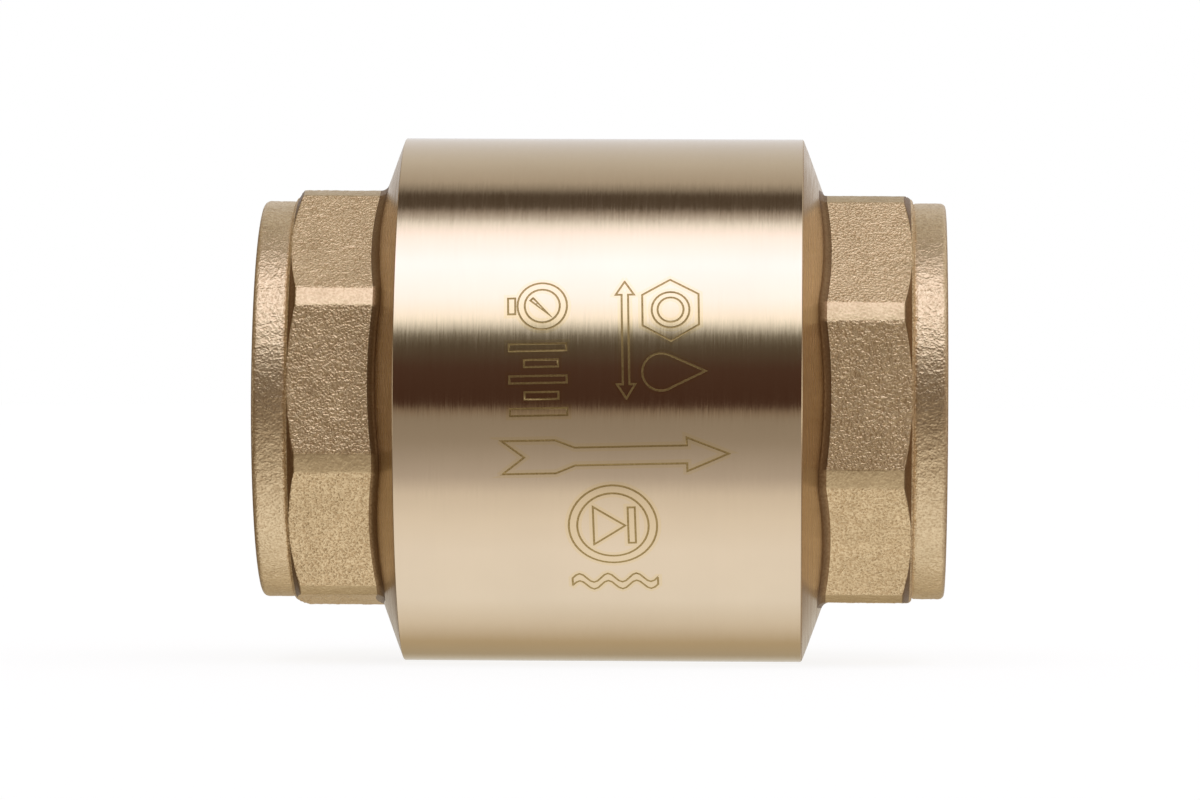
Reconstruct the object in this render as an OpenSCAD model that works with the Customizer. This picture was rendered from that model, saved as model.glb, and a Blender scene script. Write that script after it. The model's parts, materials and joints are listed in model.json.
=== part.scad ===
// Spring-loaded in-line check valve with two female pipe ports.
// The flow axis is X and water runs towards +X. The origin is on the flow axis, half way between the port faces.
// All sizes are in millimetres.

/* [Body] */
// Length between the two port faces
overall_l = 54; // [54:0.5:60]
// Diameter of the turned barrel
barrel_d = 41.5; // [41.5:0.25:46]
// Length of the turned barrel
barrel_l = 31.5; // [31.5:0.25:33]
// Size across the flats of the octagonal ends
flats = 32; // [31.5:0.25:34]
// Diameter of the round collar at each port face
collar_d = 31.4; // [30.5:0.1:31.4]
// Length of the collar at each port face
collar_l = 2.5; // [2:0.1:3]
// Lean of the two shoulders from square to the axis, in degrees
shoulder_lean = 20; // [12:1:24]
// Turn of the inlet octagon about the axis, in degrees
inlet_turn = -5.5; // [-22:0.5:22]
// Turn of the outlet octagon about the axis, in degrees
outlet_turn = -1.5; // [-22:0.5:22]

/* [Pipe ports] */
// Crest diameter of the female pipe thread
port_d = 24.117; // [23.5:0.001:24.2]
// Root diameter of the female pipe thread
port_root_d = 26.441; // [25.9:0.001:26.5]
// Depth of the threaded port from its face
port_depth = 12; // [11:0.5:12]

/* [Seat and poppet] */
// Bore of the seat
seat_d = 19; // [18:0.5:19]
// Diameter of the poppet's back plate
poppet_d = 24.6; // [24:0.1:26]
// Travel of the poppet from closed to fully open
lift = 5; // [3:0.5:5]
// Thickness of the soft seal
seal_t = 2; // [1.5:0.1:2]

/* [Stem and spring] */
// Diameter of the guided stem
stem_d = 4; // [3.5:0.1:4]
// Wire diameter of the return spring
wire_d = 0.9; // [0.7:0.05:0.95]
// Mean diameter of the return spring
spring_d = 11.2; // [11:0.1:12]
// Turns of the return spring, the two closed ends included
spring_turns = 8; // [6:1:8]

/* [Hidden] */

$fn = 96;
clear = 0.05;                 // gap between parts that meet without a fit
running = 0.04;               // radial clearance of the stem in its bush
through = 1;                  // how far a cutting tool runs past a face

// Outside of the body
face_x = overall_l / 2;
barrel_x = barrel_l / 2;
barrel_r = barrel_d / 2;
collar_r = collar_d / 2;
collar_x = face_x - collar_l;
corner_r = flats / 2 + 1;     // the octagon's corners are rounded off at this radius
chamfer_slope = 0.6;          // how far the octagon's end chamfer runs along the axis for each mm of radius
octagon_chamfer = (corner_r - collar_r) * chamfer_slope;
bury = 0.5;                   // how far one solid runs into the next where they are one piece
shoulder_foot_r = flats / 2 - 0.1;
shoulder_x = barrel_x + (barrel_r - shoulder_foot_r) * tan(shoulder_lean);
edge = 0.3;                   // small chamfer on turned edges
collar_edge = 0.4;            // rounding of each port face's outer edge, cut as two cones
collar_edge_mid = collar_edge * (1 - cos(45));

// Ports, the same at both ends and measured from the port face
port_r = port_d / 2;
mouth_r = port_root_d / 2 + 0.2;
mouth_l = mouth_r - port_r;   // the mouth is chamfered at 45 degrees
relief_r = port_root_d / 2 + 0.15;
relief_l = 1.2;
port_end_x = face_x - port_depth;
throat_x = port_end_x - relief_l;

// Seat, in the inlet body
seat_r = seat_d / 2;
chamber_r = 16.5;
seat_floor_x = -9.6;
seat_lip = 0.8;
seat_lip_w = 0.6;
seat_lip_root_w = 1.5;
seat_x = seat_floor_x + seat_lip;
throat_chamfer = 1.2;

// Screwed joint between the inlet body and the outlet cap
joint_r = 17.6;
joint_end_x = 5.5;
spigot_x = joint_end_x + 0.5;
gland_r = 19;
gland_l = 1.55;
seal_ring_r = 0.65;

// Poppet stack, from the seat downstream
seal_x = seat_x + clear;
plate_x = seal_x + seal_t;
plate_r = poppet_d / 2;
plate_t = 2.15;
plate_back_x = plate_x + plate_t;
seal_r = plate_r - 0.5;
seal_bore_r = 4.65;
plate_lip = 1.4;
spring_boss_r = 4.9;
spring_boss_l = 1.5;
collar_stop_x = plate_back_x + spring_boss_l;
front_t = 2;
front_r = seat_r - 0.9;
front_x = seal_x - front_t;
washer_t = 0.5;
washer_r = 3.9;
washer_x = front_x - washer_t;
nut_t = 2.4;
nut_flats = 7;
nut_x = washer_x - nut_t;

// Guide, circlip and bush, in the outlet cap
guide_t = 2.05;
guide_back_x = 12.4;
guide_x = guide_back_x - guide_t;
guide_r = 14.5;
guide_rim_w = 2.3;
guide_arm_w = 2.6;
guide_arms = 3;
guide_bore_r = guide_r + 0.1;
outlet_throat_r = 11.6;
hub_r = 3.9;
hub_front_x = 8.8;
hub_back_x = 13.6;
bush_r = 2.98;
bush_flange_r = 3.7;
bush_flange_t = 0.6;
bush_x = hub_front_x - bush_flange_t;
circlip_t = 0.85;
circlip_x = guide_x - clear - circlip_t;
circlip_r = 15.2;
circlip_w = 1.3;
circlip_gap = 5;
circlip_eye_r = 1.35;
circlip_hole_r = 0.6;

// Stem
stem_r = stem_d / 2;
thread_r = stem_r - clear;
stem_stop_r = 3;
stem_stop_x = bush_x - lift - clear;
stem_front_x = nut_x - 0.6;
stem_back_x = hub_back_x + 0.9;

// Spring
wire_r = wire_d / 2;
spring_r = spring_d / 2;
spring_x0 = plate_back_x + wire_r + clear;
spring_x1 = guide_x - wire_r - clear;
ring_steps = 20;              // rings of the wire in each turn
wire_sides = 8;

// A solid of revolution about the flow axis. Points are [radius, x].
module turned(points) {
    rotate([0, 90, 0]) rotate_extrude() polygon(points);
}

// A cylinder along the flow axis from x0 to x1.
module rod(r, x0, x1) {
    translate([x0, 0, 0]) rotate([0, 90, 0]) cylinder(r = r, h = x1 - x0);
}

// A prism along the flow axis with flats, one of which faces -Y.
module prism(sides, across, x0, x1) {
    translate([x0, 0, 0]) rotate([0, 90, 0]) rotate([0, 0, 180 / sides])
        cylinder(d = across / cos(180 / sides), h = x1 - x0, $fn = sides);
}

// Octagon, shoulder and collar of the outlet end. The inlet end is the same, mirrored.
module end_outside(turn) {
    turned([[0, barrel_x], [barrel_r, barrel_x], [shoulder_foot_r, shoulder_x], [0, shoulder_x]]);
    intersection() {
        rotate([turn, 0, 0]) prism(8, flats, barrel_x, collar_x + bury);
        turned([[0, barrel_x], [corner_r, barrel_x], [corner_r, collar_x - octagon_chamfer],
                [collar_r - bury, collar_x + bury * chamfer_slope], [0, collar_x + bury * chamfer_slope]]);
    }
    turned([[0, barrel_x], [collar_r, barrel_x], [collar_r, face_x - collar_edge],
            [collar_r - collar_edge_mid, face_x - collar_edge_mid], [collar_r - collar_edge, face_x],
            [0, face_x]]);
}

// Half of a port's hollow in section, from the axis at the port face to the foot of its tool relief: mouth chamfer,
// thread bore and relief. Points are [radius, distance from the middle of the valve].
port_section = [[0, face_x + through], [mouth_r + through, face_x + through], [port_r, face_x - mouth_l],
                [port_r, port_end_x], [relief_r, port_end_x], [relief_r, throat_x]];

module inlet_body() {
    port = [for (point = port_section) [point[0], -point[1]]];
    seat = [[seat_r + throat_chamfer, -throat_x], [seat_r, -throat_x + throat_chamfer], [seat_r, seat_x],
            [seat_r + seat_lip_w, seat_x], [seat_r + seat_lip_root_w, seat_floor_x]];
    chamber = [[chamber_r, seat_floor_x], [chamber_r, joint_end_x], [joint_r, joint_end_x],
               [joint_r, barrel_x - gland_l], [gland_r, barrel_x - gland_l], [gland_r, barrel_x + through],
               [0, barrel_x + through]];
    color("#c9a877") difference() {
        union() {
            mirror([1, 0, 0]) end_outside(inlet_turn);
            turned([[0, -barrel_x], [barrel_r, -barrel_x], [barrel_r, barrel_x - edge / 2],
                    [barrel_r - edge / 2, barrel_x], [0, barrel_x]]);
        }
        turned(concat(port, seat, chamber));
    }
}

module outlet_cap() {
    guide_seat = [[outlet_throat_r, throat_x], [outlet_throat_r, guide_back_x], [guide_bore_r, guide_back_x],
                  [guide_bore_r, guide_x], [circlip_r + clear, guide_x], [circlip_r + clear, circlip_x - clear],
                  [guide_bore_r, circlip_x - clear], [guide_bore_r, spigot_x - through], [0, spigot_x - through]];
    color("#c9a877") difference() {
        union() {
            end_outside(outlet_turn);
            rod(joint_r - clear, spigot_x, barrel_x + through);
        }
        turned(concat(port_section, guide_seat));
    }
}

module body_seal_ring() {
    color("#1c1c1e") rotate([0, 90, 0])
        translate([0, 0, barrel_x - gland_l / 2])
            rotate_extrude() translate([gland_r - seal_ring_r - clear, 0]) circle(r = seal_ring_r, $fn = 32);
}

module outlet_guide() {
    color("#c4a06a") difference() {
        union() {
            turned([[guide_r - guide_rim_w, guide_x], [guide_r, guide_x], [guide_r, guide_back_x],
                    [guide_r - guide_rim_w, guide_back_x]]);
            rod(hub_r, hub_front_x, hub_back_x);
            for (arm = [0 : guide_arms - 1])
                rotate([arm * 360 / guide_arms, 0, 0])
                    translate([guide_x, -guide_arm_w / 2, 0])
                        cube([guide_t, guide_arm_w, guide_r - guide_rim_w / 2]);
        }
        rod(bush_r + clear / 2, hub_front_x - through, hub_back_x + through);
    }
}

module guide_circlip() {
    eye_x = circlip_gap / 2 + circlip_eye_r * 0.75;   // each eye stands a little into the gap
    eye_r = circlip_r - circlip_eye_r - 2 * clear;
    eye_turn = asin(eye_x / eye_r);
    color("#9a9a98") difference() {
        union() {
            difference() {
                rod(circlip_r, circlip_x, circlip_x + circlip_t);
                rod(circlip_r - circlip_w, circlip_x - through, circlip_x + circlip_t + through);
                translate([circlip_x - through, -circlip_gap / 2, -circlip_r - through])
                    cube([circlip_t + 2 * through, circlip_gap, circlip_r]);
            }
            for (side = [-1, 1])
                rotate([side * eye_turn, 0, 0]) translate([0, 0, -eye_r])
                    rod(circlip_eye_r, circlip_x, circlip_x + circlip_t);
        }
        for (side = [-1, 1])
            rotate([side * eye_turn, 0, 0]) translate([0, 0, -eye_r])
                rod(circlip_hole_r, circlip_x - through, circlip_x + circlip_t + through);
    }
}

module guide_bush() {
    color("#e6e0cf") difference() {
        union() {
            rod(bush_r, bush_x, hub_back_x);
            rod(bush_flange_r, bush_x, hub_front_x);
        }
        rod(stem_r + running, bush_x - through, hub_back_x + through);
    }
}

module stem() {
    tip = 0.5;
    color("#b9b6ae") turned([[0, stem_front_x], [thread_r - tip, stem_front_x], [thread_r, stem_front_x + tip],
                             [thread_r, collar_stop_x], [stem_stop_r, collar_stop_x],
                             [stem_stop_r, stem_stop_x], [stem_r, stem_stop_x],
                             [stem_r, stem_back_x - tip], [stem_r - tip, stem_back_x], [0, stem_back_x]]);
}

module back_plate() {
    bore_r = stem_r;
    color("#c4a06a")
        turned([[bore_r, seal_x], [seal_bore_r - clear, seal_x], [seal_bore_r - clear, plate_x],
                [seal_r + clear, plate_x], [seal_r + clear, plate_x - plate_lip], [plate_r, plate_x - plate_lip],
                [plate_r, plate_back_x - edge], [plate_r - edge, plate_back_x], [spring_boss_r, plate_back_x],
                [spring_boss_r, collar_stop_x], [bore_r, collar_stop_x]]);
}

module seal_washer() {
    color("#1c1c1e") turned([[seal_bore_r, seal_x], [seal_r, seal_x], [seal_r, plate_x], [seal_bore_r, plate_x]]);
}

module front_plate() {
    bore_r = stem_r;
    cone = 1.2;
    color("#c4a06a")
        turned([[bore_r, front_x], [front_r - 2 * cone, front_x], [front_r, front_x + cone], [front_r, seal_x],
                [bore_r, seal_x]]);
}

module lock_washer() {
    color("#9a9a98") difference() {
        rod(washer_r, washer_x, front_x);
        rod(stem_r + 2 * clear, washer_x - through, front_x + through);
    }
}

module poppet_nut() {
    corner = nut_flats / 2 / cos(30);
    bevel = 0.35;
    color("#c4a06a") difference() {
        intersection() {
            prism(6, nut_flats, nut_x, washer_x);
            turned([[0, nut_x], [nut_flats / 2, nut_x], [corner, nut_x + bevel], [corner, washer_x],
                    [0, washer_x]]);
        }
        rod(stem_r, nut_x - through, washer_x + through);
    }
}

// Place along X of the spring's wire after a number of turns. The first and last turns lie closed.
function spring_x(turn) =
    let (open_turns = spring_turns - 2,
         rise = spring_x1 - spring_x0 - 2 * wire_d,
         share = min(max((turn - 1) / open_turns, 0), 1),
         closed = (min(turn, 1) + max(turn - spring_turns + 1, 0)) * wire_d)
    spring_x0 + closed + share * rise;

function spring_point(step, side) =
    let (turn = step / ring_steps, a = 360 * turn, b = 360 * side / wire_sides, r = spring_r + wire_r * cos(b))
    [spring_x(turn) + wire_r * sin(b), r * cos(a), r * sin(a)];

module return_spring() {
    rings = spring_turns * ring_steps + 1;
    points = [for (step = [0 : rings - 1], side = [0 : wire_sides - 1]) spring_point(step, side)];
    skin = [for (step = [0 : rings - 2], side = [0 : wire_sides - 1])
        let (next = (side + 1) % wire_sides, here = step * wire_sides, there = here + wire_sides)
        [here + side, here + next, there + next, there + side]];
    first_end = [for (side = [wire_sides - 1 : -1 : 0]) side];
    last_end = [for (side = [0 : wire_sides - 1]) (rings - 1) * wire_sides + side];
    color("#b4b4b2") polyhedron(points, concat([first_end], skin, [last_end]), convexity = 10);
}

inlet_body();
outlet_cap();
body_seal_ring();
outlet_guide();
guide_circlip();
guide_bush();
stem();
back_plate();
seal_washer();
front_plate();
lock_washer();
poppet_nut();
return_spring();
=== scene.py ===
# Looks of a brass in-line check valve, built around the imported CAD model.
# The flow axis is X, the engraved side faces -Y, and sizes are in millimetres until MM turns them into metres.
import json
from math import acos, asin, ceil, cos, degrees, hypot, pi, radians, sin, tan

import bpy
import numpy as np
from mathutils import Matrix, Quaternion, Vector
from mathutils.geometry import delaunay_2d_cdt


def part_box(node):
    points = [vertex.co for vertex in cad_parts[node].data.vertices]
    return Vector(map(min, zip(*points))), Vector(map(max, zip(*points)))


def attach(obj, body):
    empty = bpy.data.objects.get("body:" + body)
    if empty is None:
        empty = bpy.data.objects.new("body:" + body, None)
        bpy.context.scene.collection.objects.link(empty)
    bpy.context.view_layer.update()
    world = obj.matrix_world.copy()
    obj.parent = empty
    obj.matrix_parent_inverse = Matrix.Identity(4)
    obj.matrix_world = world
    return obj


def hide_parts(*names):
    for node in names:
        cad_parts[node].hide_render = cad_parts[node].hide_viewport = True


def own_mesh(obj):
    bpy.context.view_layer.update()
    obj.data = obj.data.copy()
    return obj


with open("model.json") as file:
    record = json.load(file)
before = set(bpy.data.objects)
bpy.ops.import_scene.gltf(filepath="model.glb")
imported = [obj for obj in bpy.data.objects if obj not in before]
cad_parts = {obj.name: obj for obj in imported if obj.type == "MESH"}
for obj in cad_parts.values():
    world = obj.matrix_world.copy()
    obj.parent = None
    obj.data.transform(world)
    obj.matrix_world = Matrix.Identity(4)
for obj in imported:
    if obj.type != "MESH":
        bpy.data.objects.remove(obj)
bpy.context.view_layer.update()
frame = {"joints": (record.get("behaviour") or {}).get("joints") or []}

MM = 0.001

# ---- sizes, read from the frame where it has them


def span(node, axis):
    """Lowest and highest place of a CAD node along one axis, in millimetres."""
    low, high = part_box(node)
    return low[axis] / MM, high[axis] / MM


def radius(node, axis=1):
    """Largest distance of a round CAD node from the flow axis, in millimetres, measured along Y or Z."""
    return span(node, axis)[1]


FACE_X = span("outlet_cap", 0)[1]  # port faces stand at -FACE_X and FACE_X
BARREL_R = radius("inlet_body")
BARREL_X = span("inlet_body", 0)[1]  # the turned barrel runs from -BARREL_X to BARREL_X
COLLAR_R = 15.7
COLLAR_X = FACE_X - 2.5
COLLAR_EDGE = 0.4  # rounding of each port face's outer edge
EDGE_STEPS = 4  # rows in that rounding
COLLAR_EASE = 0.04  # the collar's first row stands this much lower than the rest
APOTHEM = 16.0  # half the width across the octagon's flats
CORNER_R = 17.0  # the octagon's corners are turned off at this radius
CHAMFER_SLOPE = 0.6  # length of the octagon's end chamfer for each mm of radius
STEP_R = APOTHEM + 0.05  # the chamfer ends at this radius, where a small step down begins,
STEP_LEAST = 0.02  # or this far below the octagon where that is lower
STEP_GAP = 0.06  # the step ends this far short of the collar, and this far below it
SHADE_R = APOTHEM + 0.08  # the chamfer gets painted shade, a dark brown material, where the octagon stands out past this radius
INLET_TURN = -5.5  # degrees that each octagon is turned about the axis
OUTLET_TURN = -1.5
SHOULDER_LEAN = radians(20)  # of the shoulder's cone against a plane across the axis
CONE_STEPS = 4
FILLET_R = 0.7  # between the cone and the octagon
FILLET_STEPS = 6

THREAD_PITCH = 1.814
THREAD_DEPTH = 1.162
THREAD_STEPS = 14  # rows in one turn of the thread
THREAD_FLAT = 1 / 6  # share of half a turn that is level, at the crest and at the root
THREAD_ROUND = 0.35  # how far the flank is from straight, 1 being a full wave
PORT_R = 12.0585  # crest radius of the female thread
MOUTH_R = 13.4205
PORT_L = 12.0
PORT_END_X = FACE_X - PORT_L
RELIEF_R = 13.3705
THROAT_X = PORT_END_X - 1.2

SEAT_R = 9.5
SEAT_FLOOR_X = -9.6
SEAT_X = -8.8
SEAT_CHAMFER = 1.2
CHAMBER_R = 16.5
BORED_EDGE = 0.12  # softening of the edges inside
JOINT_R = 17.6
JOINT_END_X = 5.5
GLAND_R = 19.0
GLAND_L = 1.55
GUIDE_END_X = span("guide_bush", 0)[1] - 1.2
GUIDE_L = 2.05  # thickness of the guide's rim and arms
GUIDE_SEAT_R = 14.6
OUTLET_THROAT_R = 11.6
CLIP_GROOVE_R = 15.25
CLIP_PLAY = 0.05  # room on each side of the circlip in its groove

STEM_R = 1.95
STEM_TAIL_R = 2.0  # where the stem slides in its bush
STOP_R = 3.0  # the stem's collar that meets the bush at full lift
STOP_PLAY = 0.05
SCREW_PITCH = 0.7  # of the thread on the stem
BORE_R = 2.0  # of the two plates
LIFT = frame["joints"][0]["range_m"][1] / MM

FINE = 768  # columns round the as-forged ends
MIDDLE = 384  # columns round the barrel
COARSE = 192  # columns inside
GRAIN_PITCH = 0.12  # mesh spacing that carries the forged grain
GRAIN_DEPTH = 0.032
GRAIN_SEED = 3
GRAIN_LAYERS = ((0.23, 1.0, 0), (0.42, 0.6, 40), (2.5, 0.5, 80))  # size, strength and place of each layer
STRIP_GRAIN = 0.4  # share of the grain's depth on the rubbed corner strips,
CHAMFER_GRAIN = 0.3  # on the end chamfer,
STEP_GRAIN = 0.5  # on the step down to the collar,
COLLAR_GRAIN = 0.7  # and on the collar itself
HASH_PRIMES = (73856093, 19349663, 83492791)  # one for each axis, to scatter the noise's cells
SEED_PRIME = 2654435761
MIX_PRIME = 1274126177
LOW_BITS = 0xFFFF

# ---- mesh tools


CUT_SHARE = 2.2  # a corner's curve takes at most 1 / CUT_SHARE of each edge, so two curves never meet


def rounded(points, r, steps=3, closed=True):
    """The outline with each corner replaced by a curve of about radius r, or less where an edge is short."""
    out = []
    n = len(points)
    for i, p in enumerate(np.array(points, float)):
        if not closed and i in (0, n - 1):
            out.append(tuple(p))
            continue
        before, after = (np.array(points[k % n]) - p for k in (i - 1, i + 1))
        cut = min(r, hypot(*before) / CUT_SHARE, hypot(*after) / CUT_SHARE)
        start, end = (p + edge * cut / hypot(*edge) for edge in (before, after))
        for k in range(steps + 1):
            t = k / steps
            out.append(tuple((1 - t) ** 2 * start + 2 * t * (1 - t) * p + t * t * end))
    return out


def circle(x, y, r, steps=24, clockwise=False):
    """Points round a circle about (x, y)."""
    turn = -1 if clockwise else 1
    return [(x + r * cos(turn * 2 * pi * i / steps), y + r * sin(turn * 2 * pi * i / steps)) for i in range(steps)]


def angles(columns):
    """Angles about the flow axis, measured from +Y towards +Z."""
    return np.arange(columns) * 2 * pi / columns


def ring(x, r, columns):
    """One closed row of vertices. x and r are numbers or one value per column."""
    a = angles(columns)
    x, r = (np.broadcast_to(np.asarray(v, float), columns) for v in (x, r))
    return np.stack([x, r * np.cos(a), r * np.sin(a)], axis=1)


def quads(first, second, n):
    """Faces between two closed rows of n vertices that start at vertex numbers first and second."""
    return [(first + i, first + (i + 1) % n, second + (i + 1) % n, second + i) for i in range(n)]


def loop_edges(first, n):
    """The edges of a closed line of n vertices that starts at vertex number first."""
    return [(first + i, first + (i + 1) % n) for i in range(n)]


def band(first, n, second, m):
    """Faces between two closed rows of n and m vertices. The counts are the same, or one is twice the other."""
    if n == m:
        return quads(first, second, n)
    if m > n:
        return [face[::-1] for face in band(second, m, first, n)]
    faces = []
    for i in range(m):
        f0, f1, f2 = first + 2 * i, first + 2 * i + 1, first + (2 * i + 2) % n
        s0, s1 = second + i, second + (i + 1) % m
        faces += [(f0, f1, s0), (f1, s1, s0), (f1, f2, s1)]
    return faces


class Loft:
    """Rows of vertices round the flow axis, joined into a skin."""

    def __init__(self):
        self.rows = []
        self.zones = []      # material index of the band that follows each row, or one for each of its faces
        self.marks = []      # a sharp row's number for each of its vertices, and -1 on other rows

    def add(self, row, zone=0, sharp=False):
        self.marks.append(np.full(len(row), len(self.rows) if sharp else -1))
        self.rows.append(np.asarray(row, float))
        self.zones.append(zone)

    def edge(self, x, r, columns, zone):
        """A round row that is a sharp edge."""
        self.add(ring(x, r, columns), zone, sharp=True)

    def skin(self, skip=()):
        """Vertices, faces, face zones and sharp marks of the closed loft, without the bands after rows in skip."""
        start = np.cumsum([0] + [len(r) for r in self.rows]).tolist()
        faces, zones = [], []
        for i, zone in enumerate(self.zones):
            if i in skip:
                continue
            j = (i + 1) % len(self.rows)
            new = band(start[i], len(self.rows[i]), start[j], len(self.rows[j]))
            faces += new
            zones += [zone] * len(new) if isinstance(zone, int) else list(zone)
        return np.vstack(self.rows), faces, zones, np.concatenate(self.marks)


def read_mesh(items, name, width, kind=np.int32):
    """One attribute of a mesh's vertices, edges, corners or faces, as an array with a row for each."""
    values = np.zeros(len(items) * width, kind)
    items.foreach_get(name, values)
    return values.reshape(-1, width) if width > 1 else values


def make_mesh(name, vertices, faces, zones=None, marks=None, flip=False):
    """A smooth-shaded mesh object. Vertices are in millimetres, and edges along a marked row are sharp."""
    mesh = bpy.data.meshes.new(name)
    if flip:
        faces = [tuple(reversed(f)) for f in faces]
    mesh.from_pydata((np.asarray(vertices) * MM).tolist(), [], faces)
    mesh.update()
    mesh.polygons.foreach_set("use_smooth", [True] * len(mesh.polygons))
    if zones is not None:
        mesh.polygons.foreach_set("material_index", zones)
    if marks is not None:
        ends = marks[read_mesh(mesh.edges, "vertices", 2)]
        sharp = (ends[:, 0] >= 0) & (ends[:, 0] == ends[:, 1])
        mesh.attributes.new("sharp_edge", "BOOLEAN", "EDGE").data.foreach_set("value", sharp)
    obj = bpy.data.objects.new(name, mesh)
    bpy.context.scene.collection.objects.link(obj)
    return obj


def lattice_noise(points, seed):
    """Smooth 3-D value noise from -1 to 1, with cells of size 1."""
    cell = np.floor(points).astype(np.int64)
    f = points - cell
    f = f * f * (3 - 2 * f)
    total = np.zeros(len(points))
    for corner in range(8):
        step = np.array([corner & 1, corner >> 1 & 1, corner >> 2])
        at = cell + step
        h = np.bitwise_xor.reduce(at * np.array(HASH_PRIMES), axis=1) ^ seed * SEED_PRIME
        h = (h ^ (h >> 13)) * MIX_PRIME & 0xFFFFFFFF
        h = (h ^ (h >> 16)) & LOW_BITS
        weight = np.prod(np.where(step, f, 1 - f), axis=1)
        total += weight * (2 * h / LOW_BITS - 1)
    return total


# ---- body shells


def octagon_radius(columns, turn):
    """Radius of the octagon with its corners turned off, and where those corners are, one value per column."""
    # a flat faces -Y before the turn; turning about X by t adds t to every angle
    a = np.degrees(angles(columns)) - 180 - turn
    sharp = APOTHEM / np.cos(np.radians((a + 22.5) % 45 - 22.5))
    return np.minimum(sharp, CORNER_R), sharp > CORNER_R


def grained(row, depth):
    """A row pushed in and out by the shot-blasted grain of the forging."""
    grain = sum(strength * lattice_noise(row / size + offset, GRAIN_SEED + k)
                for k, (size, strength, offset) in enumerate(GRAIN_LAYERS))
    scale = 1 + depth * grain / np.hypot(row[:, 1], row[:, 2])
    return np.stack([row[:, 0], row[:, 1] * scale, row[:, 2] * scale], axis=1)


# zones of the two brass forgings, each with its own material. The dark brown one for the fillet under each shoulder
# and the chamfer's outer part is painted shade.
TURNED, SHOULDER, FORGED, BORED, ENGRAVED, RUBBED, PAINTED_SHADE, TINTED, COLLAR = range(9)


def end_rows(loft, side, turn):
    """Rows of one forged end, from the barrel's edge to the port face. side is -1 at the inlet, 1 at the outlet."""
    flat, strip = octagon_radius(FINE, turn)
    skin = np.where(strip & np.roll(strip, -1), RUBBED, FORGED)

    def forged_row(x, r, grain, zone):
        loft.add(grained(ring(side * x, r, FINE), grain * GRAIN_DEPTH), zone)

    # the cone runs from the barrel's edge down to where the fillet starts
    cone_x = BARREL_X + (BARREL_R - flat) * tan(SHOULDER_LEAN)     # where it would meet the octagon's surface
    reach = FILLET_R * tan((pi / 2 - SHOULDER_LEAN) / 2)           # from there to each end of the fillet
    foot_x = cone_x + reach
    top_x, top_r = cone_x - reach * sin(SHOULDER_LEAN), flat + reach * cos(SHOULDER_LEAN)
    for k in range(1, CONE_STEPS):
        t = k / CONE_STEPS
        x = BARREL_X + (top_x[::2] - BARREL_X) * t
        loft.add(ring(side * x, BARREL_R + (top_r[::2] - BARREL_R) * t, MIDDLE), SHOULDER)
    # the fillet's rows, up to the octagon, carry painted shade: a dark brown material in the crease under the
    # shoulder
    for k in range(FILLET_STEPS + 1):
        a = SHOULDER_LEAN + (pi / 2 - SHOULDER_LEAN) * k / FILLET_STEPS
        zone = PAINTED_SHADE if k < FILLET_STEPS else skin
        loft.add(ring(side * (foot_x - FILLET_R * cos(a)), flat + FILLET_R * (1 - sin(a)), FINE), zone)

    # the octagon, whose grain fades in over the first third of its length, and then its turned end chamfer
    end_r, end_x = COLLAR_R - STEP_GAP, COLLAR_X - STEP_GAP
    step_r = np.minimum(flat - STEP_LEAST, STEP_R)
    chamfer_x, step_x = (end_x - (r - end_r) * CHAMFER_SLOPE for r in (flat, step_r))
    # where the octagon stands out past SHADE_R, the chamfer carries painted shade
    chamfer_zone = np.where(flat > SHADE_R, PAINTED_SHADE, FORGED)
    grain = np.where(strip, STRIP_GRAIN, 1.0)
    count = ceil(float((chamfer_x - foot_x).mean()) / GRAIN_PITCH)
    for k in range(1, count + 1):
        t = k / count
        zone = skin if k < count else chamfer_zone
        forged_row(foot_x + (chamfer_x - foot_x) * t, flat, grain * min(1.0, 3 * t), zone)
    thirds = (1 / 3, 2 / 3, 1.0)
    for t in thirds:
        zone = chamfer_zone if t < 1 else FORGED
        forged_row(chamfer_x + (step_x - chamfer_x) * t, flat + (step_r - flat) * t, CHAMFER_GRAIN, zone)
    for t in thirds:
        a = pi / 2 * t
        forged_row(step_x + (end_x - step_x) * sin(a), end_r + (step_r - end_r) * cos(a), STEP_GRAIN, FORGED)

    # the collar and its rounded outer edge
    forged_row(COLLAR_X, COLLAR_R - COLLAR_EASE, CHAMFER_GRAIN, COLLAR)
    straight = FACE_X - COLLAR_EDGE - COLLAR_X
    count = ceil(straight / GRAIN_PITCH)
    for k in range(1, count + 1):
        forged_row(COLLAR_X + straight * k / count, COLLAR_R, COLLAR_GRAIN, COLLAR)
    for k in range(1, EDGE_STEPS):
        t = k / EDGE_STEPS
        a = pi / 2 * t
        forged_row(FACE_X - COLLAR_EDGE * (1 - sin(a)), COLLAR_R - COLLAR_EDGE * (1 - cos(a)),
                   COLLAR_GRAIN * (1 - t), COLLAR)


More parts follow.
